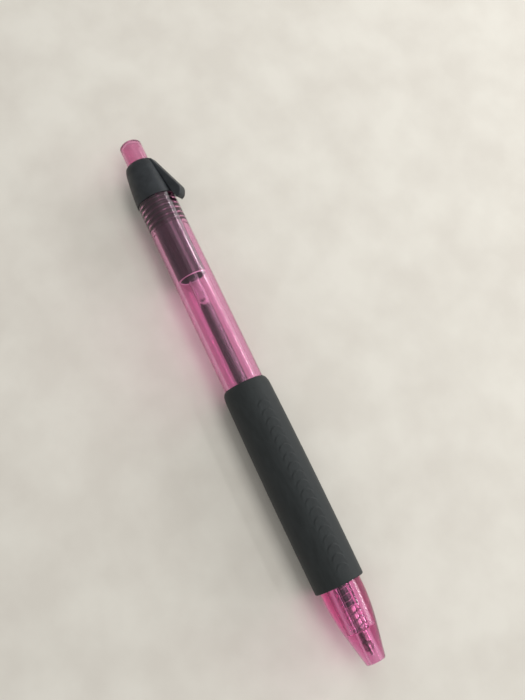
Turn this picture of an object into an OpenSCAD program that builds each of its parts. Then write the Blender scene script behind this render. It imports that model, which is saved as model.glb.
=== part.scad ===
// Retractable ballpoint pen: see-through barrel, rubber grip and a click mechanism.
// The pen lies along +X. The origin is the centre of the nose end face.
// The button is at the +X end, and +Z is up when the pen lies on a table.

/* [Overall] */
// Length from the nose end to the top of the raised button
pen_len = 141.8; // [141.4:0.1:143]
// How far the button goes in
stroke = 5.5; // [4.5:0.1:5.5]

/* [Barrel] */
// Outer diameter of the see-through barrel
barrel_d = 10.1; // [9.9:0.1:10.3]
// Diameter of the main bore
bore_d = 7.7; // [7.6:0.05:7.8]
// Diameter of the flat ring at the nose end
nose_tip_d = 4.8; // [4.4:0.1:5.2]
// Length of the nose ahead of the grip
nose_len = 18.6; // [17:0.1:20]
// Diameter of the hole that the point comes out of
point_hole_d = 2.5; // [2.45:0.05:2.7]
// Depth of the narrow point channel behind the nose end
channel_len = 7.75; // [6:0.25:9]
// Diameter of the chamber that the spring works in
chamber_d = 4.6; // [4.4:0.1:5]
// Number of guide ribs along the spring chamber
rib_count = 6; // [4:1:8]

/* [Rubber grip] */
// Length of the grip sleeve
grip_len = 52; // [46:1:52]
// Widest diameter of the grip, near its middle
grip_d = 12.5; // [12.4:0.1:13]
// Diameter of the barrel neck under the grip
neck_d = 9.4; // [9:0.1:9.6]

/* [Collar and clip] */
// Station where the barrel ends and the collar begins
collar_x = 123.5; // [123.5:0.1:124]
// Length of the collar
collar_len = 11.2; // [11:0.1:11.5]
// Diameter of the collar at its lower edge
collar_d = 10.5; // [10.4:0.1:11]
// Diameter of the collar at its top edge
collar_top_d = 8; // [7.8:0.1:8.4]
// Width of the clip arm
clip_w = 3.2; // [2.6:0.1:3.2]
// How far the clip points above the horizontal, in degrees
clip_rise = 27; // [0:1:45]

/* [Click mechanism] */
// Diameter of the push button where it slides in the collar
button_d = 6; // [5.9:0.05:6]
// Outer diameter of the cam sleeve
sleeve_d = 7.4; // [7.3:0.05:7.4]
// Station of the open lower end of the cam sleeve
sleeve_x = 100.6; // [100:0.1:102]
// Pitch of the thread that holds the sleeve in the barrel
thread_pitch = 1.4; // [1.2:0.1:1.4]
// Number of thread turns
thread_turns = 5; // [4:1:5]

/* [Refill] */
// Outer diameter of the ink tube
tube_d = 3; // [2.9:0.05:3]
// Bore of the ink tube
tube_bore_d = 2.2; // [2:0.05:2.3]
// Station where the ink column ends
ink_top_x = 93.6; // [60:0.2:98]
// Diameter of the metal point behind the needle
point_d = 2.3; // [2.1:0.05:2.3]
// Diameter of the writing ball
ball_d = 0.7; // [0.5:0.1:0.7]
// Station of the front of the ball when the point is in
ball_x = 1.65; // [1.2:0.05:1.9]

/* [Return spring] */
// Diameter of the spring wire
wire_d = 0.35; // [0.25:0.05:0.35]
// Mean diameter of the spring coils
coil_d = 3.5; // [3.4:0.05:3.6]
// Number of spring turns, with the closed end turns
coil_turns = 14; // [10:1:16]

/* [Hidden] */

$fn = 64;
eps = 0.01;
snug = 0.02;                       // radial gap of parts that are pressed together
run = 0.07;                        // radial gap of parts that slide in each other

barrel_r = barrel_d / 2;
bore_r = bore_d / 2;
neck_r = neck_d / 2;
grip_r = grip_d / 2;
grip_x0 = nose_len;
grip_x1 = nose_len + grip_len;
grip_end_r = grip_r - 0.1;         // lower edge of the grip
grip_top_r = grip_r - 0.25;        // just below the shoulder
grip_shoulder = 2.5;
grip_belly_x = 40;                 // widest place

nose_level_x = nose_len - 1.7;     // the nose is as wide as the barrel from here on
nose_slope = (barrel_r - nose_tip_d / 2) / ((channel_len + nose_level_x) / 2);

chamber_r = chamber_d / 2;
spring_x0 = channel_len;           // the spring stands on the chamber's floor
spring_x1 = 27;                    // front face of the refill flange
flare_x0 = 22;                     // the chamber opens into the main bore
flare_x1 = 28;
rib_w = 0.45;
rib_inner_r = (coil_d + wire_d) / 2 + 0.06;
rib_x1 = spring_x1 - stroke - 1;   // clear of the refill flange when the button is in

thread_crest = 0.35;               // height of the thread over the sleeve
thread_x1 = collar_x - 0.6;
thread_x0 = thread_x1 - thread_turns * thread_pitch;
thread_gap = 0.08;
thread_bore_r = sleeve_d / 2 + thread_gap;

sleeve_r = sleeve_d / 2;
sleeve_bore_r = sleeve_r - 0.45;
rail_r = 2.6;
rail_x0 = 111.5;
rail_x1 = 124;
fin_count = 4;
fin_w = 1;
slot_w = fin_w + 0.3;
fin_r = sleeve_bore_r - 0.1;
core_r = rail_r - 0.15;            // bodies that pass between the rails

collar_x1 = collar_x + collar_len;
collar_wall = 1.5;                 // end wall that holds the button in
collar_mid_r = (collar_d + collar_top_d) / 4 + 0.1;

button_r = button_d / 2;
button_hole_r = button_r + run;
cap_r = button_r - 0.1;            // the part of the button that stands out
groove_r = button_r - 0.2;         // thin ring groove at the collar's edge
button_x0 = collar_x1 - collar_wall - 1.7;
button_bore_r = 2;
flange_r = sleeve_bore_r - 0.05;   // keeps the button in the collar
button_dome = 1.6;
button_wall = 2.2;                 // thickness of the dome on the axis

tooth_count = 8;
tooth_h = 0.9;
tooth_half_w = 0.62;
tooth_gap = 1;                     // distance between the two crowns' base faces
plunger_x0 = 117.3;
rotor_x0 = 104.5;
rotor_x1 = plunger_x0 - tooth_gap;
rotor_fin_x0 = 112.2;
crown_in_r = 1.75;
socket_depth = 2.5;

tube_x0 = spring_x1 + 1.5;
tube_x1 = rotor_x0 + socket_depth - snug;
holder_x0 = channel_len + stroke + 0.35;
shank_x1 = tube_x0 + 5.4;
point_r = point_d / 2;
needle_r0 = 0.42;
needle_r1 = 0.6;
cone_x0 = 4.7;
ball_r = ball_d / 2;
ball_cx = ball_x + ball_r;

clip_root_x = collar_x1 - 0.8;
clip_root_h = collar_top_d / 2 - 0.22;
clip_root_r = 0.42;
clip_pocket_x = collar_x1 - 2.9;   // the arm's root lies in a shallow pocket in the collar
clip_pocket_h = sleeve_r + 0.15;
clip_lift = 0.2;                   // gap between the arm and the collar
clip_slope = 0.355;                // rise of the arm's outer face
clip_end_x = 121;
clip_tip_h = 6.1;                  // inner edge of the free end
clip_tip_r = 2.4;                  // rounding of the outer corner
clip_bend_x = clip_end_x + 2.2;    // the arm's inner face bends away from the barrel here

// ---- helpers -------------------------------------------------------------
// A profile of [station, radius] points turned about the pen's axis
module turned(points)
    rotate([0, 90, 0])
        rotate_extrude($fn = 96)
            polygon([for (p = points) [p[1], p[0]]]);

// A round bar or bore along the axis from station a to station b
module bar(a, b, r)
    translate([a, 0, 0])
        rotate([0, 90, 0])
            cylinder(h = b - a, r = r);

// A blade that stands out from the axis between radius r0 and r1
module blade(a, b, r0, r1, w, angle)
    rotate([angle, 0, 0])
        translate([a, -w / 2, r0])
            cube([b - a, w, r1 - r0]);

// Teeth around the axis that rise from station x towards dir
module crown_teeth(x, dir, phase)
    intersection() {
        difference() {
            bar(x - tooth_h - 1, x + tooth_h + 1, core_r);
            bar(x - tooth_h - 2, x + tooth_h + 2, crown_in_r);
        }
        for (i = [0 : tooth_count - 1])
            rotate([phase + i * 360 / tooth_count, 0, 0])
                translate([x, 0, 0])
                    linear_extrude(height = core_r + 1)
                        polygon([[-dir * 0.3, -tooth_half_w], [0, -tooth_half_w],
                            [dir * tooth_h, 0], [0, tooth_half_w], [-dir * 0.3, tooth_half_w]]);
    }

// Outer radius of the nose at station x: a cone, then a parabola that ends level
function nose_r(x) =
    let (rise = min(x, nose_level_x), bent = max(rise - channel_len, 0))
    nose_tip_d / 2 + nose_slope * (rise - bent * bent / (2 * (nose_level_x - channel_len)));

// Outer radius of the grip at station x: two parabolas that meet at its belly
function grip_outer(x) =
    x < grip_belly_x
    ? grip_r - (grip_r - grip_end_r) * pow((grip_belly_x - x) / (grip_belly_x - grip_x0), 2)
    : grip_r - (grip_r - grip_top_r)
        * pow((x - grip_belly_x) / (grip_x1 - grip_shoulder - grip_belly_x), 2);

// One thread tooth at station x that reaches radius crest from radius root
function thread_tooth(x, root, crest, grow) = [
    [x - 0.42 - grow, root],
    [x - 0.14 - grow, crest],
    [x + 0.14 + grow, crest],
    [x + 0.42 + grow, root]];

function thread_teeth(root, crest, grow) = [
    for (i = [0 : thread_turns - 1])
        each thread_tooth(thread_x0 + (i + 0.5) * thread_pitch, root, crest, grow)];

// ---- barrel and grip -----------------------------------------------------
module barrel() {
    nose_steps = 14;
    color("hotpink", 0.55) {
        turned(concat(
            [[0, point_hole_d / 2], [0, nose_r(0) - 0.1]],
            [for (i = [0 : nose_steps]) let (x = 0.1 + (nose_len - 0.1) * i / nose_steps)
                [x, nose_r(x)]],
            [[nose_len, neck_r], [grip_x1, neck_r], [grip_x1, barrel_r], [collar_x, barrel_r],
                [collar_x, thread_bore_r]],
            [for (i = [0 : 4 * thread_turns - 1])
                thread_teeth(thread_bore_r, thread_bore_r + thread_crest, 0.06)
                    [4 * thread_turns - 1 - i]],
            [[thread_x0 - 0.5, thread_bore_r], [thread_x0 - 0.6, bore_r], [flare_x1, bore_r],
                [flare_x0, chamber_r], [channel_len, chamber_r],
                [channel_len, point_hole_d / 2]]));
        for (i = [0 : rib_count - 1])
            blade(channel_len - eps, rib_x1, rib_inner_r, chamber_r + 0.2, rib_w,
                (i + 0.5) * 360 / rib_count);
    }
}

module rubber_grip() {
    steps = 16;
    x_top = grip_x1 - grip_shoulder;
    inner_r = neck_r + snug;
    color([0.17, 0.18, 0.19])
        turned(concat(
            [[grip_x0 + snug, inner_r], [grip_x0 + snug, grip_end_r - 0.2]],
            [for (i = [0 : steps]) let (x = grip_x0 + 0.25 + (x_top - grip_x0 - 0.25) * i / steps)
                [x, grip_outer(x)]],
            [for (i = [1 : 6]) let (a = i * 90 / 6)
                [x_top + (grip_shoulder - snug) * sin(a),
                    barrel_r + 0.1 + (grip_top_r - barrel_r - 0.1) * cos(a)]],
            [[grip_x1 - snug, inner_r]]));
}

// ---- collar and clip -----------------------------------------------------
// Puts a shape that points up along +Z at the clip's place round the barrel
module at_clip()
    rotate([90 - clip_rise, 0, 0])
        children();

module clip_bar(r, w)
    translate([clip_root_x, w / 2, clip_root_h])
        rotate([90, 0, 0])
            cylinder(h = w, r = r, $fn = 32);

module clip_collar()
    color([0.13, 0.14, 0.15])
        difference() {
            turned([
                [collar_x, sleeve_r + snug],
                [collar_x, collar_d / 2 - 0.1],
                [collar_x + 0.15, collar_d / 2],
                [collar_x + 4.5, collar_mid_r + 0.15],
                [collar_x + 8, collar_top_d / 2 + 0.4],
                [collar_x1 - 1, collar_top_d / 2 + 0.1],
                [collar_x1 - 0.3, collar_top_d / 2 - 0.25],
                [collar_x1, collar_top_d / 2 - 0.7],
                [collar_x1, button_hole_r],
                [collar_x1 - collar_wall, button_hole_r],
                [collar_x1 - collar_wall, sleeve_r + snug]]);
            at_clip() {
                clip_bar(clip_root_r + run, clip_w + 2 * run);
                translate([clip_pocket_x, -clip_w / 2 - run, clip_pocket_h])
                    cube([clip_root_x - clip_pocket_x, clip_w + 2 * run, collar_d]);
            }
        }

// Height of the arm's outer face over the axis at station x
function clip_outer(x) = clip_root_h + clip_root_r - 0.05 + clip_slope * (clip_root_x - x);

// Side view of the arm as points of [station, height over the axis]
function clip_outline() =
    let (
        corner_x = clip_end_x + 0.3 + clip_tip_r,
        corner_h = clip_outer(corner_x) - clip_tip_r)
    concat(
        [[clip_root_x, clip_root_h], [clip_root_x, clip_root_h + clip_root_r - 0.05]],
        [for (a = [20 : 10 : 70]) [corner_x - clip_tip_r * sin(a), corner_h + clip_tip_r * cos(a)]],
        [[clip_end_x, clip_tip_h],
            [clip_bend_x, collar_d / 2 + 2 * clip_lift],
            [clip_pocket_x + 0.1, collar_top_d / 2 + 0.35 + clip_lift],
            [clip_pocket_x + 0.3, clip_pocket_h + run],
            [clip_root_x - clip_root_r, clip_pocket_h + run]]);

module pocket_clip()
    color([0.13, 0.14, 0.15])
        at_clip()
            union() {
                clip_bar(clip_root_r, clip_w);
                translate([0, clip_w / 2, 0])
                    rotate([90, 0, 0])
                        linear_extrude(height = clip_w)
                            polygon(clip_outline());
            }

// ---- click mechanism -----------------------------------------------------
module cam_sleeve()
    color([0.2, 0.12, 0.14])
        union() {
            turned(concat(
                [[sleeve_x, sleeve_bore_r], [sleeve_x, sleeve_r]],
                thread_teeth(sleeve_r, sleeve_r + thread_crest, 0),
                [[collar_x1 - collar_wall - snug, sleeve_r],
                    [collar_x1 - collar_wall - snug, sleeve_bore_r]]));
            difference() {
                bar(rail_x0, rail_x1, sleeve_bore_r + 0.1);
                bar(rail_x0 - 1, rail_x1 + 1, rail_r);
                for (i = [0 : fin_count - 1])
                    blade(rail_x0 - 1, rail_x1 + 1, 0, sleeve_r, slot_w, i * 360 / fin_count);
            }
        }

module push_button()
    color("hotpink", 0.6)
        turned(concat(
            [[button_x0, button_bore_r], [button_x0, flange_r],
                [collar_x1 - collar_wall - 0.1, flange_r],
                [collar_x1 - collar_wall - 0.1, button_r], [collar_x1 - 0.1, button_r],
                [collar_x1 - 0.1, groove_r], [collar_x1 + 0.3, groove_r],
                [collar_x1 + 0.3, cap_r]],
            [for (a = [0 : 15 : 90])
                [pen_len - button_dome + button_dome * sin(a), cap_r * pow(cos(a), 0.7)]],
            [[pen_len - button_wall, 0], [pen_len - button_wall, button_bore_r]]));

module plunger()
    color([0.85, 0.85, 0.82])
        difference() {
            union() {
                bar(plunger_x0, button_x0 - 0.1, core_r);
                bar(button_x0 - 0.2, button_x0 + 3, button_bore_r - snug);
                for (i = [0 : fin_count - 1])
                    blade(plunger_x0 + 1.2, rail_x1, core_r - 0.3, fin_r, fin_w,
                        i * 360 / fin_count);
                crown_teeth(plunger_x0, -1, 0);
            }
            bar(plunger_x0 - 1, button_x0 - 2, crown_in_r - 0.35);
        }

module rotor_cam()
    color([0.85, 0.85, 0.82])
        difference() {
            union() {
                bar(rotor_x0, rotor_x1, core_r);
                for (i = [0 : fin_count - 1])
                    blade(rotor_fin_x0, rotor_x1 - 0.1, core_r - 0.3, fin_r, fin_w,
                        i * 360 / fin_count);
                crown_teeth(rotor_x1, 1, 180 / tooth_count);
            }
            bar(rotor_x0 - 1, rotor_x0 + socket_depth, tube_d / 2 + snug);
            bar(rotor_x0 + socket_depth + 2, rotor_x1 + 1, crown_in_r - 0.35);
        }

// ---- refill --------------------------------------------------------------
module refill_tube()
    color([0.9, 0.9, 0.92], 0.5)
        difference() {
            bar(tube_x0, tube_x1, tube_d / 2);
            bar(tube_x0 - 1, tube_x1 + 1, tube_bore_d / 2);
        }

module ink_column()
    color([0.1, 0.06, 0.07])
        bar(shank_x1 + snug, ink_top_x, tube_bore_d / 2 - snug);

module point_holder()
    color([0.12, 0.12, 0.13])
        difference() {
            union() {
                bar(holder_x0, spring_x1 + eps, 1.3);
                bar(spring_x1, tube_x0 - snug, 2.05);
                bar(tube_x0 - 0.1, shank_x1, tube_bore_d / 2 - snug);
            }
            bar(holder_x0 - 1, holder_x0 + 4, 0.8 + snug);
            bar(holder_x0 + 3, shank_x1 + 1, 0.5);
        }

module writing_point()
    color([0.75, 0.76, 0.78])
        difference() {
            turned([
                [ball_x + 0.22, 0],
                [ball_x + 0.22, needle_r0 - 0.06],
                [ball_x + 0.5, needle_r0],
                [cone_x0 - 0.5, needle_r1],
                [cone_x0, needle_r1 + 0.08],
                [cone_x0 + 0.35, point_r],
                [holder_x0 - snug, point_r],
                [holder_x0 - snug, 0.8],
                [holder_x0 + 3.9, 0.8],
                [holder_x0 + 3.9, 0]]);
            translate([ball_cx, 0, 0])
                sphere(r = ball_r + snug);
            bar(ball_x + 0.5, holder_x0 + 5, 0.15);
        }

module writing_ball()
    color([0.9, 0.9, 0.92])
        translate([ball_cx, 0, 0])
            sphere(r = ball_r);

// ---- return spring -------------------------------------------------------
wire_sides = 6;
turn_steps = 20;
// Share of the free coils' rise at turn t: the first and last turns lie closed
function coil_rise(t) = min(max(t - 1, 0), coil_turns - 2) / (coil_turns - 2);
function coil_x(t) =
    let (x0 = spring_x0 + wire_d / 2 + 0.05, x1 = spring_x1 - wire_d / 2 - 0.05)
    x0 + wire_d * min(t, 1) + wire_d * max(t - coil_turns + 1, 0)
        + (x1 - x0 - 2 * wire_d) * coil_rise(t);
function coil_point(t, k) =
    let (a = 360 * t, b = 360 * k / wire_sides, r = coil_d / 2 + wire_d / 2 * cos(b))
    [coil_x(t) + wire_d / 2 * sin(b), r * cos(a), r * sin(a)];

module return_spring() {
    rings = coil_turns * turn_steps;
    color([0.7, 0.7, 0.72])
        polyhedron(
            points = [for (i = [0 : rings]) for (k = [0 : wire_sides - 1])
                coil_point(i / turn_steps, k)],
            faces = concat(
                [for (i = [0 : rings - 1]) for (k = [0 : wire_sides - 1])
                    let (n = (k + 1) % wire_sides)
                    [i * wire_sides + k, (i + 1) * wire_sides + k,
                        (i + 1) * wire_sides + n, i * wire_sides + n]],
                [[for (k = [0 : wire_sides - 1]) k]],
                [[for (k = [0 : wire_sides - 1]) rings * wire_sides + wire_sides - 1 - k]]));
}

barrel();
rubber_grip();
clip_collar();
pocket_clip();
cam_sleeve();
push_button();
plunger();
rotor_cam();
refill_tube();
ink_column();
point_holder();
writing_point();
writing_ball();
return_spring();
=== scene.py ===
"""Retractable ballpoint pen: see-through pink barrel, ridged rubber grip, black collar and clip.

The shapes are drawn in millimetres, which make_piece() and make_table() scale to metres. Lamps
and materials are in metres. x is the station along the pen from the nose end, r the distance
from the pen's axis, and an angle is counted from the top of the pen (+Z) towards the clip's
side (-Y).
"""

import math

import bmesh
import bpy
import numpy as np
from mathutils import Matrix, Vector


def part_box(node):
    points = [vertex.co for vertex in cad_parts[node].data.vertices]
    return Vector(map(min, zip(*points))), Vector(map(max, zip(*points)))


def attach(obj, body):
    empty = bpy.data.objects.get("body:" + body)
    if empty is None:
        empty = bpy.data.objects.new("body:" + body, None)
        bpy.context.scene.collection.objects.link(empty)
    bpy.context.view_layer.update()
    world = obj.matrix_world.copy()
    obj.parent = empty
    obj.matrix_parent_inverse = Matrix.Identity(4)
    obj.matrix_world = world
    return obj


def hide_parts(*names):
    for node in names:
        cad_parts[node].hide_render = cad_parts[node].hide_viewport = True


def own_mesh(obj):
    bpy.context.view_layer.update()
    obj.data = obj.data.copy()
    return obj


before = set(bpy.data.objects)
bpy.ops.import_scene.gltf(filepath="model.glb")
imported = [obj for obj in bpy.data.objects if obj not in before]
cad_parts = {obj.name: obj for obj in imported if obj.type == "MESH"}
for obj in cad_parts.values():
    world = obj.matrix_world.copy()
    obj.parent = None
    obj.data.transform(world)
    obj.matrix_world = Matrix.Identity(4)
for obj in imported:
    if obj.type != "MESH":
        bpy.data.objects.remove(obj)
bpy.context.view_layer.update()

MM = 0.001
TAU = 2 * math.pi


def span(node):
    """First station, last station and largest radius of a CAD node, in millimetres."""
    low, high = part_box(node)
    return low.x / MM, high.x / MM, high.y / MM


# ---- sizes from the frame ------------------------------------------------------------------------
NOSE_X, BARREL_END_X, BARREL_R = span("barrel")
GRIP_X0, GRIP_X1, GRIP_R = span("rubber_grip")
COLLAR_X0, COLLAR_X1, COLLAR_R = span("clip_collar")
SLEEVE_X0, SLEEVE_X1 = span("cam_sleeve")[:2]
BUTTON_X0, BUTTON_X1, FLANGE_R = span("push_button")
TUBE_X0, TUBE_X1, TUBE_R = span("refill_tube")
INK_X0, INK_X1, INK_R = span("ink_column")
POINT_X0, POINT_X1, POINT_R = span("writing_point")
SPRING_X0, SPRING_X1, SPRING_R = span("return_spring")
CLIP_X0 = span("pocket_clip")[0]
TABLE_Z = -GRIP_R

# ---- sizes inside and between the pieces ---------------------------------------------------------
NECK_R = 4.7                  # barrel under the grip
BORE_R = 3.85                 # main bore
CHAMBER_R = 2.3               # bore of the spring chamber
CHANNEL_R = 1.25              # point channel
CHANNEL_X = 7.75              # floor of the spring chamber
NOSE_TIP_R = 2.4              # flat ring at the nose end
NOSE_LEVEL_X = GRIP_X0 - 1.7  # the nose is as wide as the barrel from here on
RIB_COUNT = 6                 # guide ribs along the spring chamber
RIB_X1 = 20.5                 # rear end of the ribs
RIB_HALF_WIDTH = 0.3
RIB_HEIGHT = 0.3
SLEEVE_R = 3.7                # cam sleeve under its thread
SLEEVE_BORE_R = 3.25
THREAD_PITCH = 1.4
THREAD_BORE_R = SLEEVE_R + 0.08     # barrel's bore where the thread is cut
THREAD_CUT = 0.16             # depth of the thread in the barrel
THREAD_RISE = 0.33            # height of the thread on the sleeve
THREAD_X0 = BARREL_END_X - 8.2
THREAD_X1 = BARREL_END_X - 0.6
COLLAR_WALL_X = COLLAR_X1 - 1.5     # inner face of the collar's end wall
BUTTON_HOLE_R = 3.07          # hole in the end wall
CAP_R = 2.9                   # button where it shows
BUTTON_BORE_R = 2.35
CLIP_ANGLE = math.radians(63)  # middle of the clip arm
CLIP_WIDTH = 3.2


def new_object(name, data):
    """A new object with this data, in the scene."""
    thing = bpy.data.objects.new(name, data)
    bpy.context.scene.collection.objects.link(thing)
    return thing


def srgb(red, green, blue):
    """Screen colour values from 0 to 255 as a linear colour with full alpha."""
    share = np.array([red, green, blue]) / 255
    linear = np.where(share <= 0.04045, share / 12.92, ((share + 0.055) / 1.055) ** 2.4)
    return (*linear.tolist(), 1.0)


# ---- camera --------------------------------------------------------------------------------------
CAMERA_AT = np.array([36.0, 27.7, 197.1]) * MM
CAMERA_AIM = np.array([76.7, -7.9, 0.0]) * MM
CAMERA_ROLL = -0.4452         # angle of the picture's up direction from +X
LENS_MM = 42.45
SENSOR_MM = 36
NEAREST_SEEN = 0.005


def place_camera():
    """Stands the camera above the nose half of the pen, looking along it towards the button."""
    forward = CAMERA_AIM - CAMERA_AT
    forward /= np.linalg.norm(forward)
    right = np.cross(forward, [math.cos(CAMERA_ROLL), math.sin(CAMERA_ROLL), 0])
    right /= np.linalg.norm(right)
    up = np.cross(right, forward)
    data = bpy.data.cameras.new("camera")
    data.lens = LENS_MM
    data.sensor_width = SENSOR_MM
    data.clip_start = NEAREST_SEEN
    camera = new_object("camera", data)
    turn = Matrix(np.column_stack([right, up, -forward]).tolist()).to_4x4()
    camera.matrix_world = Matrix.Translation(Vector(CAMERA_AT)) @ turn
    bpy.context.scene.camera = camera


# ---- mesh tools ----------------------------------------------------------------------------------
def make_piece(name, points, faces, material, body=None, stands_for=(), sharp=32):
    """A mesh piece from points in millimetres and faces. Doubled points are merged, faces are
    turned outwards, and edges sharper than `sharp` degrees stay sharp."""
    mesh = bpy.data.meshes.new(name)
    mesh.from_pydata((np.asarray(points) * MM).tolist(), [], faces)
    work = bmesh.new()
    work.from_mesh(mesh)
    bmesh.ops.remove_doubles(work, verts=work.verts, dist=1e-7)
    bmesh.ops.recalc_face_normals(work, faces=work.faces)
    work.to_mesh(mesh)
    work.free()
    mesh.polygons.foreach_set("use_smooth", [True] * len(mesh.polygons))
    mesh.set_sharp_from_angle(angle=math.radians(sharp))
    mesh.materials.append(material)
    piece = new_object(name, mesh)
    if body:
        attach(piece, body)
    if stands_for:
        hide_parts(*stands_for)
    return piece


def grid_faces(rows, columns, close_rows=True, close_columns=True):
    """Quads between neighbouring points of a grid, with its rows and columns joined end to end."""
    row = np.arange(rows if close_rows else rows - 1)[:, None]
    column = np.arange(columns if close_columns else columns - 1)[None, :]
    row2, column2 = (row + 1) % rows, (column + 1) % columns
    corners = [row * columns + column, row * columns + column2,
               row2 * columns + column2, row2 * columns + column]
    return np.stack(corners, -1).reshape(-1, 4).tolist()


def rod_faces(rows, columns):
    """Faces of a row of closed rings, with a flat face over the first and the last ring."""
    last = (rows - 1) * columns
    return grid_faces(rows, columns, close_rows=False) + [
        list(range(columns)), list(range(last, last + columns))]


def rounded(corners, radii, steps=5):
    """A closed outline whose corners are quadratic curves: each starts and ends its radius away
    from the corner, along the two sides that meet there."""
    corners = np.array(corners, float)
    back = np.roll(corners, 1, 0) - corners
    ahead = np.roll(corners, -1, 0) - corners
    back_len = np.linalg.norm(back, axis=1, keepdims=True)
    ahead_len = np.linalg.norm(ahead, axis=1, keepdims=True)
    radii = np.broadcast_to(np.asarray(radii, float), len(corners))[:, None]
    cut = np.minimum(radii, 0.45 * np.minimum(back_len, ahead_len))
    start, end = corners + back / back_len * cut, corners + ahead / ahead_len * cut
    t = np.linspace(0, 1, steps)[None, :, None]
    curve = ((1 - t) ** 2 * start[:, None] + 2 * t * (1 - t) * corners[:, None]
             + t ** 2 * end[:, None])
    return curve.reshape(-1, 2)


def dense(outline, step):
    """A closed outline with its long sides cut into lengths of at most `step`."""
    sides = zip(outline, np.roll(outline, -1, 0))
    return np.concatenate([
        np.linspace(a, b, max(1, math.ceil(np.linalg.norm(b - a) / step)) + 1)[:-1]
        for a, b in sides])


def turned(outline, columns=96, relief=None):
    """Points of an outline of [x, r] carried round the axis. relief(x, r, angle) adds to r."""
    x, r = outline[:, :1], outline[:, 1:]
    angle = np.arange(columns)[None, :] * TAU / columns
    x, r, angle = np.broadcast_arrays(x, r, angle)
    if relief:
        r = r + relief(x, r, angle)
    return np.stack([x, -r * np.sin(angle), r * np.cos(angle)], -1).reshape(-1, 3)


def lathe(name, outline, material, body, stands_for=(), columns=96, relief=None, sharp=32):
    """A turned piece with a closed outline."""
    points = turned(outline, columns, relief)
    return make_piece(name, points, grid_faces(len(outline), columns), material, body,
                      stands_for, sharp)


def step_up(value, low, high):
    """0 below low, 1 above high and a smooth rise between them."""
    t = np.clip((value - low) / (high - low), 0, 1)
    return t * t * (3 - 2 * t)


def thread_height(x, angle):
    """Height of the thread from 0 to 1: a trapezoid wave along x that moves on by one pitch in a
    turn, and fades in and out at the thread's ends."""
    wave = 1 - np.abs(2 * np.mod(x / THREAD_PITCH - angle / TAU, 1) - 1)
    fade = step_up(x, THREAD_X0, THREAD_X0 + 0.6) * (1 - step_up(x, THREAD_X1 - 0.4, THREAD_X1))
    return np.clip((wave - 0.25) / 0.45, 0, 1) * fade


# ---- material tools ------------------------------------------------------------------------------
def new_material(name, **sockets):
    """A material with a Principled shader whose named sockets are set. Returns it and its nodes."""
    material = bpy.data.materials.new(name)
    material.use_nodes = True
    tree = material.node_tree
    shader = tree.nodes["Principled BSDF"]
    for socket, value in sockets.items():
        shader.inputs[socket.replace("_", " ")].default_value = value
    return material, tree, shader


def add(tree, kind, settings=None, **sockets):
    """A node of a kind, with settings as its properties and sockets as its input values or links.
    A socket called _N is the node's input number N."""
    node = tree.nodes.new(kind)
    for key, value in (settings or {}).items():
        setattr(node, key, value)
    for key, value in sockets.items():
        socket = node.inputs[int(key[1:])] if key[0] == "_" else node.inputs[key]
        if isinstance(value, bpy.types.NodeSocket):
            tree.links.new(value, socket)
        else:
            socket.default_value = value
    return node


def object_place(tree):
    """The surface's place in Object coordinates, in metres."""
    return add(tree, "ShaderNodeTexCoord").outputs["Object"]


def noise(tree, stretch, detail=4.0, rough=0.55):
    """Noise on Object coordinates, `stretch` cells per metre along each axis."""
    place = add(tree, "ShaderNodeMapping", Vector=object_place(tree), Scale=stretch)
    place = place.outputs["Vector"]
    return add(tree, "ShaderNodeTexNoise", Vector=place, Scale=1.0, Detail=detail,
               Roughness=rough).outputs["Fac"]


def spread(tree, value, low, high, to_low, to_high):
    """A value mapped from one range to another and held inside it."""
    return add(tree, "ShaderNodeMapRange", Value=value, **{
        "From Min": low, "From Max": high, "To Min": to_low, "To Max": to_high}).outputs["Result"]


def mixed(tree, share, first, second):
    """Two colours mixed by a share."""
    node = add(tree, "ShaderNodeMix", {"data_type": "RGBA"}, _0=share, _6=first, _7=second)
    return node.outputs[2]


def blend(tree, value, low, high, first, second):
    """The first colour where the value is under low, the second where it is over high."""
    return mixed(tree, spread(tree, value, low, high, 0, 1), first, second)


def dress(tree, shader, colour, roughness):
    """Gives the shader its colour and its roughness."""
    tree.links.new(colour, shader.inputs["Base Color"])
    tree.links.new(roughness, shader.inputs["Roughness"])


def bump(tree, shader, height, depth, strength=1.0):
    """Bump from a height, `depth` metres deep."""
    node = add(tree, "ShaderNodeBump", Height=height, Strength=strength, Distance=depth)
    tree.links.new(node.outputs["Normal"], shader.inputs["Normal"])


def let_light_through(tree, shader, tint):
    """Shadow rays pass the surface and take its tint, so that what lies behind it is lit."""
    output = tree.nodes["Material Output"]
    clear = add(tree, "ShaderNodeBsdfTransparent", Color=tint).outputs["BSDF"]
    is_shadow = add(tree, "ShaderNodeLightPath").outputs["Is Shadow Ray"]
    both = add(tree, "ShaderNodeMixShader", _0=is_shadow, _1=shader.outputs["BSDF"], _2=clear)
    tree.links.new(both.outputs["Shader"], output.inputs["Surface"])


# ---- materials -----------------------------------------------------------------------------------
PINK_SKIN = (0.95, 0.72, 0.86, 1.0)
PINK_FLOW = (0.90, 0.62, 0.78, 1.0)
BUTTON_SKIN = (0.80, 0.46, 0.62, 1.0)
BUTTON_FLOW = (0.74, 0.38, 0.54, 1.0)
PINK_SHADE = (0.80, 0.77, 0.78, 1.0)
PINK_DEPTH = (0.86, 0.08, 0.57, 1.0)
PINK_DENSITY = 200.0                # per metre of plastic
INK_STAIN = (0.10, 0.02, 0.05, 1.0)
STAIN_AT = (0.0052, 0, 0)           # middle of the stained part of the nose
STAIN_SCALE = (330, 520, 520)       # one over the stain's half size, along each axis
RIM_HIGHLIGHT_FROM, RIM_HIGHLIGHT_TO = 0.10, 0.22     # painted pale highlight on the sleeve's rim fades out this far from its end, in mm


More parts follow.
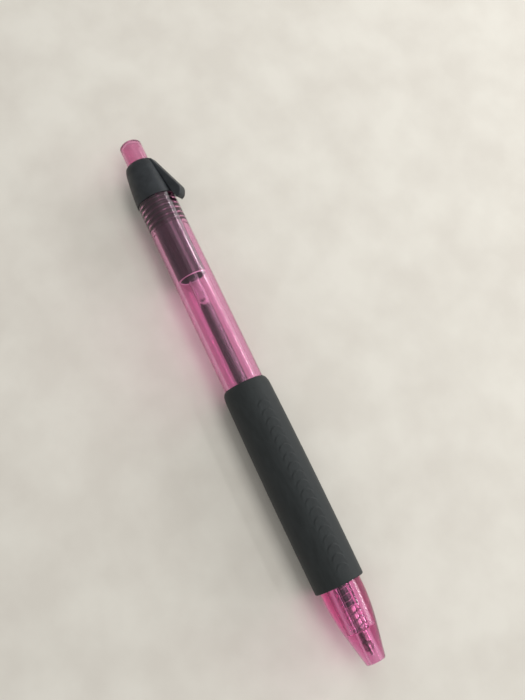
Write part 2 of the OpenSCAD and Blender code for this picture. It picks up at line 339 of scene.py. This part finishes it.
def distance_from(tree, centre, scale):
    """Distance of the surface from a point, with each axis scaled."""
    offset = add(tree, "ShaderNodeVectorMath", {"operation": "SUBTRACT"}, _0=object_place(tree),
                 _1=centre).outputs["Vector"]
    offset = add(tree, "ShaderNodeVectorMath", {"operation": "MULTIPLY"}, _0=offset,
                 _1=scale).outputs["Vector"]
    return add(tree, "ShaderNodeVectorMath", {"operation": "LENGTH"}, _0=offset).outputs["Value"]


def clear_pink(name, skin, flow_mark, haze=0.0, stained=False):
    """Clear pink moulded plastic with faint flow marks, fine scuffs and, in the nose, ink stains.
    Haze is the share of light that the surface scatters."""
    material, tree, shader = new_material(name, IOR=1.5, Transmission_Weight=1.0 - haze)
    flow = noise(tree, (18, 160, 160), 3)
    colour = blend(tree, flow, 0.35, 0.7, skin, flow_mark)
    if stained:
        near = distance_from(tree, STAIN_AT, STAIN_SCALE)
        blotch = noise(tree, (700, 900, 900), 3)
        stain = add(tree, "ShaderNodeMath", {"operation": "ADD"}, _0=blotch,
                    _1=spread(tree, near, 0.9, 1.5, 0.0, -0.6)).outputs["Value"]
        colour = mixed(tree, spread(tree, stain, 0.36, 0.60, 0, 0.85), colour, INK_STAIN)
    scuffs = noise(tree, (400, 2600, 2600), 5, 0.6)
    dress(tree, shader, colour, spread(tree, scuffs, 0.45, 0.75, 0.02, 0.12))
    bump(tree, shader, noise(tree, (8, 1900, 1900), 2), 0.00003, 0.6)
    let_light_through(tree, shader, PINK_SHADE)
    body = add(tree, "ShaderNodeVolumeAbsorption", Color=PINK_DEPTH, Density=PINK_DENSITY)
    tree.links.new(body.outputs["Volume"], tree.nodes["Material Output"].inputs["Volume"])
    return material


def black_rubber():
    """Matte black rubber: fine grain, dusty grey patches and a soft sheen."""
    material, tree, shader = new_material("black_rubber", Specular_IOR_Level=0.30,
                                          Sheen_Weight=0.06, Sheen_Roughness=0.5)
    dust = noise(tree, (260, 900, 900), 5, 0.65)
    colour = blend(tree, dust, 0.35, 0.75, srgb(27, 31, 32), srgb(40, 44, 45))
    dress(tree, shader, colour, spread(tree, dust, 0.3, 0.7, 0.58, 0.74))
    bump(tree, shader, noise(tree, (9000, 9000, 9000), 3), 0.00002, 0.6)
    return material


def black_plastic():
    """Satin black moulded plastic with a fine spark-eroded grain and rubbed patches."""
    material, tree, shader = new_material("black_plastic", Specular_IOR_Level=0.38)
    rub = noise(tree, (500, 500, 500), 4)
    colour = blend(tree, rub, 0.35, 0.7, srgb(24, 28, 32), srgb(36, 40, 44))
    dress(tree, shader, colour, spread(tree, rub, 0.3, 0.7, 0.50, 0.38))
    bump(tree, shader, noise(tree, (7000, 7000, 7000), 2), 0.00001, 0.5)
    return material


def dark_plastic():
    """Dark brown-black glossy plastic of the cam sleeve, with fine drag lines along it and a
    painted pale highlight along the rim at its open end."""
    material, tree, shader = new_material("dark_plastic", Specular_IOR_Level=0.35)
    drag = noise(tree, (40, 1400, 1400), 4)
    colour = blend(tree, drag, 0.3, 0.7, srgb(30, 25, 29), srgb(52, 43, 46))
    station = add(tree, "ShaderNodeSeparateXYZ", Vector=object_place(tree)).outputs["X"]
    # painted highlight: pale colour on the sleeve's open end, where its rim catches the light
    painted_rim_highlight = spread(tree, station, (SLEEVE_X0 + RIM_HIGHLIGHT_FROM) * MM, (SLEEVE_X0 + RIM_HIGHLIGHT_TO) * MM, 1, 0)
    colour = mixed(tree, painted_rim_highlight, colour, srgb(225, 205, 214))
    dress(tree, shader, colour, spread(tree, drag, 0.3, 0.7, 0.32, 0.44))
    bump(tree, shader, drag, 0.00001, 0.4)
    return material


def clear_tube():
    """Clear extruded tube with a faint haze and draw lines."""
    material, tree, shader = new_material("clear_tube", IOR=1.46, Transmission_Weight=0.98)
    haze = noise(tree, (120, 3000, 3000), 4)
    colour = mixed(tree, haze, (0.97, 0.96, 0.97, 1), (0.90, 0.88, 0.90, 1))
    dress(tree, shader, colour, spread(tree, haze, 0.3, 0.7, 0.04, 0.12))
    bump(tree, shader, haze, 0.000005, 0.4)
    let_light_through(tree, shader, (0.95, 0.94, 0.95, 1))
    return material


def ink_paste():
    """Thick dark ink against the tube wall, slightly streaky."""
    material, tree, shader = new_material("ink_paste", Coat_Weight=0.2, Coat_Roughness=0.08)
    streak = noise(tree, (150, 2500, 2500), 4)
    colour = mixed(tree, streak, (0.010, 0.004, 0.006, 1), (0.035, 0.016, 0.018, 1))
    dress(tree, shader, colour, spread(tree, streak, 0.3, 0.7, 0.22, 0.40))
    return material


def turned_metal(name, light, dark, rough, ring=5200):
    """Metal with fine rings round the axis, `ring` cells per metre, and slight tarnish."""
    material, tree, shader = new_material(name, Metallic=1.0)
    rings = noise(tree, (ring, 60, 60), 2)
    tarnish = noise(tree, (700, 700, 700), 4)
    colour = blend(tree, tarnish, 0.35, 0.7, light, dark)
    dress(tree, shader, colour, spread(tree, rings, 0.3, 0.7, rough, rough + 0.12))
    bump(tree, shader, rings, 0.000004, 0.5)
    return material


def natural_acetal():
    """Off-white slippery plastic of the click parts, a little translucent."""
    material, tree, shader = new_material("natural_acetal", Subsurface_Weight=0.15,
                                          Subsurface_Scale=0.001)
    cloud = noise(tree, (600, 600, 600), 3)
    colour = mixed(tree, cloud, srgb(222, 218, 206), srgb(205, 200, 188))
    dress(tree, shader, colour, spread(tree, cloud, 0.3, 0.7, 0.30, 0.42))
    bump(tree, shader, noise(tree, (5000, 5000, 5000), 2), 0.000006, 0.4)
    return material


def table_top():
    """Pale warm grey table top with soft blotches."""
    material, tree, shader = new_material("table_top", Roughness=0.75, Specular_IOR_Level=0.25)
    blotch = noise(tree, (70, 70, 70), 5, 0.5)
    colour = blend(tree, blotch, 0.35, 0.65, srgb(206, 203, 195), srgb(198, 194, 186))
    tree.links.new(colour, shader.inputs["Base Color"])
    bump(tree, shader, noise(tree, (500, 500, 500), 4), 0.00003, 0.3)
    return material


# ---- barrel --------------------------------------------------------------------------------------
def nose_outline():
    """Outer line of the nose: a cone as long as the point channel, then a parabola that is level
    where it reaches the barrel's width."""
    x = np.linspace(0.25, GRIP_X0 - 0.2, 30)
    slope = 2 * (BARREL_R - NOSE_TIP_R) / (CHANNEL_X + NOSE_LEVEL_X)
    rise = np.minimum(x, NOSE_LEVEL_X)
    bent = np.maximum(rise - CHANNEL_X, 0)
    r = NOSE_TIP_R + slope * (rise - bent ** 2 / (2 * (NOSE_LEVEL_X - CHANNEL_X)))
    return np.stack([x, r], -1)


def make_barrel(material):
    """Shell of the barrel: conical nose, neck under the grip, ribbed spring chamber, bore and a
    helical inner thread."""
    outer = rounded([[GRIP_X0, BARREL_R], [GRIP_X0, NECK_R], [GRIP_X1, NECK_R],
                     [GRIP_X1, BARREL_R], [BARREL_END_X, BARREL_R], [BARREL_END_X, THREAD_BORE_R],
                     [THREAD_X0 - 0.5, THREAD_BORE_R], [THREAD_X0 - 0.8, BORE_R],
                     [28.0, BORE_R], [22.0, CHAMBER_R], [CHANNEL_X, CHAMBER_R],
                     [CHANNEL_X - 0.25, CHANNEL_R], [NOSE_X, CHANNEL_R], [NOSE_X, NOSE_TIP_R]],
                    [0.1, 0.1, 0.1, 0.15, 0.2, 0.1, 0.1, 0.1, 2.0, 2.0, 0.3, 0.1, 0.1, 0.12])
    outline = dense(np.concatenate([nose_outline(), outer]), 1.0)
    in_thread = (outline[:, 0] > THREAD_X0 - 0.6) & (np.abs(outline[:, 1] - THREAD_BORE_R) < 0.05)
    first, last = np.flatnonzero(in_thread)[[0, -1]]
    fine = np.linspace(outline[first], outline[last], 110)
    outline = np.concatenate([outline[:first], fine, outline[last + 1:]])

    def inside(x, r, angle):
        """Cuts the thread into the wall and raises the ribs in the spring chamber."""
        threaded = (np.abs(r - THREAD_BORE_R) < 0.05) & (x > THREAD_X0 - 0.6)
        sector = TAU / RIB_COUNT
        off_rib = np.abs(np.mod(angle, sector) - sector / 2) * CHAMBER_R
        rib = 1 - step_up(off_rib, 0.5 * RIB_HALF_WIDTH, RIB_HALF_WIDTH)
        run = step_up(x, CHANNEL_X + 0.05, CHANNEL_X + 0.2) * (1 - step_up(x, RIB_X1 - 0.6, RIB_X1))
        ribbed = np.abs(r - CHAMBER_R) < 0.02
        return np.where(threaded, THREAD_CUT * thread_height(x, angle),
                        np.where(ribbed, -RIB_HEIGHT * rib * run, 0))

    return lathe("barrel_shell", outline, material, "barrel", ["barrel"],
                 relief=inside, columns=192)


# ---- grip ----------------------------------------------------------------------------------------
SCALE_PITCH = 2.3
SCALE_HEIGHT = 0.20
SCALE_SINK = 0.06                   # the foot of a ridge lies this far under the grip's surface
SCALE_BOW = 1.15                    # a ridge's middle is this far ahead of its ends
STRIP_HALF_WIDTH = 1.75
STRIP_COUNT = 2
STRIP_ANGLE = math.radians(14)      # middle of the strip nearest the top


def scale_relief(x, r, angle):
    """Fish-scale ridges: in each strip the height rises along x in a saw wave whose steep front
    is bowed forward in the middle, and it fades out towards the strip's sides and ends."""
    sector = TAU / STRIP_COUNT
    off = np.mod(angle - STRIP_ANGLE + sector / 2, sector) - sector / 2
    across = off * GRIP_R / STRIP_HALF_WIDTH
    phase = np.mod((x - GRIP_X0 + SCALE_BOW * across ** 2) / SCALE_PITCH, 1)
    saw = phase ** 1.4 * (1 - step_up(phase, 0.90, 1.0))
    side = 1 - step_up(np.abs(across), 0.75, 1.05)
    ends = step_up(x, GRIP_X0 + 2.0, GRIP_X0 + 4.0) * (1 - step_up(x, GRIP_X1 - 6.0, GRIP_X1 - 4.5))
    outside = r > NECK_R + 0.6
    return np.where(outside, (SCALE_HEIGHT * saw - SCALE_SINK) * side * ends, 0)


def make_grip(material):
    """Rubber sleeve, widest at its belly: its side droops from there to both ends by the square
    of the distance. Its rear shoulder is a quarter ellipse, and strips of ridges run along it."""
    belly, shoulder = 40.0, 2.5
    x = np.linspace(GRIP_X0 + 0.25, GRIP_X1 - shoulder, 330)
    droop = np.where(x < belly, 0.10 * ((belly - x) / (belly - GRIP_X0)) ** 2,
                     0.25 * ((x - belly) / (GRIP_X1 - shoulder - belly)) ** 2)
    side = np.stack([x, GRIP_R - 0.02 - droop], -1)
    turn = np.linspace(0, math.pi / 2, 10)[1:]
    top_r = GRIP_R - 0.27
    bend = np.stack([GRIP_X1 - shoulder + shoulder * np.sin(turn),
                     BARREL_R + 0.02 + (top_r - BARREL_R - 0.02) * np.cos(turn)], -1)
    inner = NECK_R + 0.02
    ends = np.array([[GRIP_X1, inner], [GRIP_X0, inner], [GRIP_X0, GRIP_R - 0.32],
                     [GRIP_X0 + 0.07, GRIP_R - 0.2]])
    return lathe("grip_sleeve", np.concatenate([side, bend, ends]), material,
                 "barrel", ["rubber_grip"], columns=230, relief=scale_relief, sharp=50)


# ---- collar, clip, sleeve, button ----------------------------------------------------------------
def make_collar(material):
    """Collar: a smooth taper from the barrel to a rounded shoulder round the button."""
    outline = rounded([[COLLAR_X0, SLEEVE_R + 0.02], [COLLAR_X0, COLLAR_R],
                       [COLLAR_X0 + 4.0, 4.98], [COLLAR_X0 + 7.8, 4.52], [COLLAR_X1 - 1.3, 4.2],
                       [COLLAR_X1 - 0.15, 3.75], [COLLAR_X1, BUTTON_HOLE_R],
                       [COLLAR_WALL_X, BUTTON_HOLE_R], [COLLAR_WALL_X, SLEEVE_R + 0.02]],
                      [0.1, 0.25, 2.5, 2.5, 1.2, 0.6, 0.1, 0.1, 0.1], 7)
    return lathe("collar_shell", dense(outline, 1.0), material, "barrel",
                 ["clip_collar"])


def make_clip(material):
    """Clip arm: a side outline of [x, height over the axis] pushed across its width. Its two
    outer edges are quarter circles, made by moving the outline in along its own normals. Its
    underside is hollow: each point keeps its distance from the axis, so it follows the collar."""
    under_line = [[CLIP_X0, 6.1], [123.3, 5.62], [131.5, 4.62], [132.9, 3.95]]

    def outer(x):
        """Height of the arm's straight outer side."""
        return 4.16 + 0.355 * (133.9 - x)

    def under(x):
        """Height of the arm's underside."""
        return np.interp(x, *zip(*under_line))

    outline = rounded([[133.6, 3.75], [134.3, 3.75], [134.1, 4.1], [128.0, outer(128.0)],
                       [122.9, outer(122.9)], [CLIP_X0 + 0.2, 7.1], *under_line],
                      [0.1, 0.2, 0.4, 1.0, 1.7, 0.8, 0.2, 1.0, 0.5, 0.2], 7)
    outline = dense(outline, 0.5)
    along = np.roll(outline, -1, 0) - np.roll(outline, 1, 0)
    inward = np.stack([-along[:, 1], along[:, 0]], -1) / np.linalg.norm(along, axis=1, keepdims=True)
    edge = 0.4
    turn = np.linspace(0, math.pi / 2, 6)
    inset = edge * np.concatenate([1 - np.sin(turn), 1 - np.cos(turn)])
    share = (outline[:, 1] - under(outline[:, 0])) / (outer(outline[:, 0]) - under(outline[:, 0]))
    share = step_up(share, 0.1, 0.6)
    across = CLIP_WIDTH / 2 - edge * np.concatenate([1 - np.cos(turn), 1 - np.sin(turn)])
    across[:len(turn)] *= -1
    flat = outline[None] + inset[:, None, None] * (share[:, None] * inward)[None]
    x, height = flat[..., 0], flat[..., 1]
    side = np.broadcast_to(across[:, None], x.shape)
    height = height - (1 - share) * (height - np.sqrt(height ** 2 - side ** 2))
    sin, cos = math.sin(CLIP_ANGLE), math.cos(CLIP_ANGLE)
    points = np.stack([x, -height * sin - side * cos, height * cos - side * sin], -1).reshape(-1, 3)
    rows, columns = x.shape
    return make_piece("clip_arm", points, rod_faces(rows, columns), material, "clip",
                      ["pocket_clip"], sharp=40)


def make_sleeve(material):
    """Cam sleeve: an open tube with a helical outer thread where it screws into the barrel."""
    outline = rounded([[SLEEVE_X0, SLEEVE_BORE_R], [SLEEVE_X0, SLEEVE_R],
                       [THREAD_X0 - 0.4, SLEEVE_R], [SLEEVE_X1, SLEEVE_R],
                       [SLEEVE_X1, SLEEVE_BORE_R]], [0.12, 0.2, 0.1, 0.1, 0.1])
    outline = dense(outline, 0.8)
    on_thread = (outline[:, 1] > SLEEVE_R - 0.01) & (outline[:, 0] > THREAD_X0 - 0.5)
    outline = np.concatenate([outline[~on_thread & (outline[:, 1] > SLEEVE_R - 0.3)
                                      & (outline[:, 0] < THREAD_X0)],
                              np.stack([np.linspace(THREAD_X0 - 0.4, THREAD_X1 + 0.3, 130),
                                        np.full(130, SLEEVE_R)], -1),
                              [[SLEEVE_X1, SLEEVE_R], [SLEEVE_X1, SLEEVE_BORE_R],
                               [SLEEVE_X0 + 0.1, SLEEVE_BORE_R]]])

    def ridge(x, r, angle):
        """Raises the thread on the outside of the tube."""
        return np.where(r > SLEEVE_R - 0.01, THREAD_RISE * thread_height(x, angle), 0)

    return lathe("sleeve_tube", outline, material, "barrel", ["cam_sleeve"],
                 relief=ridge, columns=128)


def make_button(material):
    """Push button: a hollow clear cap with a rounded, thin-walled dome, and a flange inside the
    collar that keeps it from falling out."""
    flange_x = COLLAR_WALL_X - 0.1
    guide_r = CAP_R + 0.1
    outline = rounded([[BUTTON_X0, BUTTON_BORE_R], [BUTTON_X0, FLANGE_R], [flange_x, FLANGE_R],
                       [flange_x, guide_r], [COLLAR_X1 - 0.1, guide_r], [COLLAR_X1 + 0.05, CAP_R],
                       [BUTTON_X1 - 1.1, CAP_R], [BUTTON_X1 - 0.45, CAP_R - 0.75],
                       [BUTTON_X1, 0], [BUTTON_X1 - 0.5, 0], [BUTTON_X1 - 0.95, 1.7],
                       [BUTTON_X1 - 1.8, BUTTON_BORE_R]],
                      [0.1, 0.1, 0.1, 0.1, 0.1, 0.1, 0.8, 0.8, 0, 0, 0.6, 0.6], 7)
    outline[:, 1] = np.maximum(outline[:, 1], 0)
    return lathe("button_cap", outline, material, "button", ["push_button"])


# ---- refill --------------------------------------------------------------------------------------
def make_tube(material):
    """Ink tube with a wall of 0.4 mm and softened ends."""
    outline = rounded([[TUBE_X0, INK_R + 0.02], [TUBE_X0, TUBE_R], [TUBE_X1, TUBE_R],
                       [TUBE_X1, INK_R + 0.02]], 0.1)
    return lathe("ink_tube", dense(outline, 6.0), material, "refill",
                 ["refill_tube"], columns=64)


def make_ink(material):
    """Ink column with a dished end and a ragged upper edge. It wets the tube, so it reaches a
    hundredth of a millimetre into the wall and shows at the tube's full width."""
    wet_r, dish, columns = INK_R + 0.03, 1.1, 64
    reach = np.linspace(0, 1, 10)[:, None]
    bowl = np.concatenate([INK_X1 - dish + dish * reach ** 3, wet_r * reach], 1)[::-1]
    outline = np.concatenate([[[INK_X0, 0], [INK_X0, wet_r]],
                              np.stack([np.linspace(INK_X0 + 0.1, INK_X1, 60), np.full(60, wet_r)], -1),
                              bowl])
    swing = np.random.default_rng(7).uniform(-1, 1, (4, 2))
    points = turned(outline, columns).reshape(len(outline), columns, 3)
    angle = np.arange(columns) * TAU / columns
    edge = sum(a * np.sin((k + 1) * angle) + b * np.cos((k + 1) * angle)
               for k, (a, b) in enumerate(swing)) * 0.25
    lift = step_up(outline[:, 0], INK_X1 - 3.0, INK_X1)[:, None]
    points[..., 0] -= lift * (0.5 + edge)[None]
    return make_piece("ink_fill", points.reshape(-1, 3), grid_faces(len(outline), columns),
                      material, "refill", ["ink_column"], sharp=60)


def make_ink_drops(material):
    """Small flat drops of ink left on the tube's wall behind the column: each is a flattened
    ellipsoid, centred just inside the wall."""
    pick = np.random.default_rng(11)
    count, rings, columns = 7, 7, 14
    station = INK_X1 + pick.uniform(0.3, 2.6, count)
    around = pick.uniform(-1.2, 1.4, count)
    size = pick.uniform(0.10, 0.26, count)
    polar = np.linspace(0, math.pi, rings)[None, :, None]
    turn = (np.arange(columns) * TAU / columns)[None, None, :]
    s = size[:, None, None]
    x = station[:, None, None] + 1.5 * s * np.sin(polar) * np.cos(turn)
    angle = around[:, None, None] + s * np.sin(polar) * np.sin(turn) / INK_R
    r = INK_R - 0.02 + 0.055 * np.cos(polar) + 0 * turn
    points = np.stack([x, -r * np.sin(angle), r * np.cos(angle)], -1).reshape(-1, 3)
    one = np.array(grid_faces(rings, columns, close_rows=False))
    faces = (one[None] + (np.arange(count) * rings * columns)[:, None, None]).reshape(-1, 4)
    return make_piece("ink_drops", points, faces.tolist(), material, "refill", sharp=60)


def make_point(material):
    """Metal point: needle, cone and body with a small groove, turned in one piece."""
    shank = POINT_X1 - 3.9
    outline = rounded([[POINT_X0, 0], [POINT_X0, 0.34], [POINT_X0 + 0.3, 0.42], [4.2, 0.58],
                       [4.65, 0.66], [5.0, POINT_R], [7.2, POINT_R], [7.35, POINT_R - 0.07],
                       [7.6, POINT_R - 0.07], [7.75, POINT_R], [shank, POINT_R], [shank, 0.8],
                       [POINT_X1, 0.8], [POINT_X1, 0]],
                      [0, 0.1, 0.2, 0.3, 0.3, 0.25, 0.05, 0.05, 0.05, 0.05, 0.1, 0.1, 0.1, 0], 5)
    outline[:, 1] = np.maximum(outline[:, 1], 0)
    return lathe("point_body", dense(outline, 0.6), material, "refill",
                 ["writing_point"], columns=64)


def make_spring(material):
    """Return spring: round wire on a helix whose first and last turns lie closed."""
    wire_r, turns, sides, steps = 0.175, 14, 10, 36
    t = np.linspace(0, turns, turns * steps + 1)[:, None]
    free = np.clip(t - 1, 0, turns - 2) / (turns - 2)
    first, last = SPRING_X0 + wire_r, SPRING_X1 - wire_r
    x = first + 2 * wire_r * (np.minimum(t, 1) + np.maximum(t - turns + 1, 0))
    x = x + (last - first - 4 * wire_r) * free
    b = (np.arange(sides) * TAU / sides)[None]
    r = SPRING_R - wire_r + wire_r * np.cos(b)
    a = TAU * t
    points = np.stack([x + wire_r * np.sin(b), r * np.cos(a), r * np.sin(a)], -1)
    piece = make_piece("spring_coil", points.reshape(-1, 3), rod_faces(len(t), sides), material,
                       "barrel", ["return_spring"], sharp=60)
    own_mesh(piece)
    return piece


# ---- stage ---------------------------------------------------------------------------------------
def make_table(material):
    """Plain pale table top under the pen."""
    half, centre = 900.0, 70.0
    corners = [[centre - half, -half, TABLE_Z], [centre + half, -half, TABLE_Z],
               [centre + half, half, TABLE_Z], [centre - half, half, TABLE_Z]]
    mesh = bpy.data.meshes.new("table_top")
    mesh.from_pydata((np.array(corners) * MM).tolist(), [], [(0, 1, 2, 3)])
    mesh.materials.append(material)
    new_object("table_top", mesh)


PEN_MIDDLE = Vector((0.07, 0, 0))
WARM = (1, 0.985, 0.96)
WHITE = (1, 1, 1)
WORLD_STRENGTH = 0.50


def area_light(name, start, end, width, watts, colour, mirrored=True):
    """A rectangular lamp whose middle line runs from start to end. It faces the pen. With
    mirrored off it lights the scene but doesn't show in shiny surfaces."""
    start, end = Vector(start), Vector(end)
    middle = (start + end) / 2
    data = bpy.data.lights.new(name, "AREA")
    data.shape = "RECTANGLE"
    data.size, data.size_y = (end - start).length, width
    data.energy = watts
    data.color = colour
    lamp = new_object(name, data)
    lamp.visible_glossy = mirrored
    along = (end - start).normalized()
    back = middle - PEN_MIDDLE
    back = (back - along * back.dot(along)).normalized()
    lamp.matrix_world = Matrix.Translation(middle) @ Matrix(
        [along, back.cross(along), back]).transposed().to_4x4()


def make_light():
    """Even pale surroundings, a key lamp high on the clip's side that gives the shadow and isn't
    mirrored, a broad haze lamp that shows in the clear plastic, a low window, and two strips for
    the bright lines. Each lamp: start, end, width, watts, colour."""
    world = bpy.data.worlds.new("studio")
    world.use_nodes = True
    background = world.node_tree.nodes["Background"]
    background.inputs["Color"].default_value = (*WARM, 1)
    background.inputs["Strength"].default_value = WORLD_STRENGTH
    bpy.context.scene.world = world
    area_light("key_lamp", (-0.30, -0.16, 0.45), (0.50, -0.16, 0.45), 0.17, 1.15, WARM, False)
    area_light("haze_lamp", (-0.40, -0.14, 0.45), (0.60, -0.14, 0.45), 0.60, 0.50, WARM)
    area_light("window", (-0.20, -0.44, 0.14), (0.40, -0.44, 0.14), 0.18, 1.1, WHITE)
    area_light("low_strip", (-0.15, -0.45, 0.10), (0.38, -0.38, 0.28), 0.012, 0.5, WHITE)
    area_light("nose_strip", (-0.22, -0.30, 0.36), (0.0, -0.30, 0.36), 0.02, 0.20, WHITE)
    bpy.context.scene.view_settings.view_transform = "Standard"


def finish_frame_nodes():
    """Finished materials for the CAD nodes that stay as they are."""
    acetal = natural_acetal()
    holder = black_plastic()
    carbide = turned_metal("polished_ball", (0.86, 0.86, 0.88, 1), (0.78, 0.78, 0.80, 1), 0.06)
    for node, material in (("plunger", acetal), ("rotor_cam", acetal), ("point_holder", holder),
                           ("writing_ball", carbide)):
        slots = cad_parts[node].data.materials
        slots.clear()
        slots.append(material)


place_camera()
make_light()
make_table(table_top())
make_barrel(clear_pink("barrel_pink", PINK_SKIN, PINK_FLOW, stained=True))
make_grip(black_rubber())
plastic = black_plastic()
make_collar(plastic)
make_clip(plastic)
make_sleeve(dark_plastic())
make_button(clear_pink("button_pink", BUTTON_SKIN, BUTTON_FLOW, haze=0.10))
make_tube(clear_tube())
ink = ink_paste()
make_ink(ink)
make_ink_drops(ink)
make_point(turned_metal("nickel_silver", (0.50, 0.46, 0.44, 1), (0.30, 0.27, 0.26, 1), 0.12))
make_spring(turned_metal("spring_wire", (0.42, 0.40, 0.40, 1), (0.28, 0.26, 0.26, 1), 0.20, 800))
finish_frame_nodes()
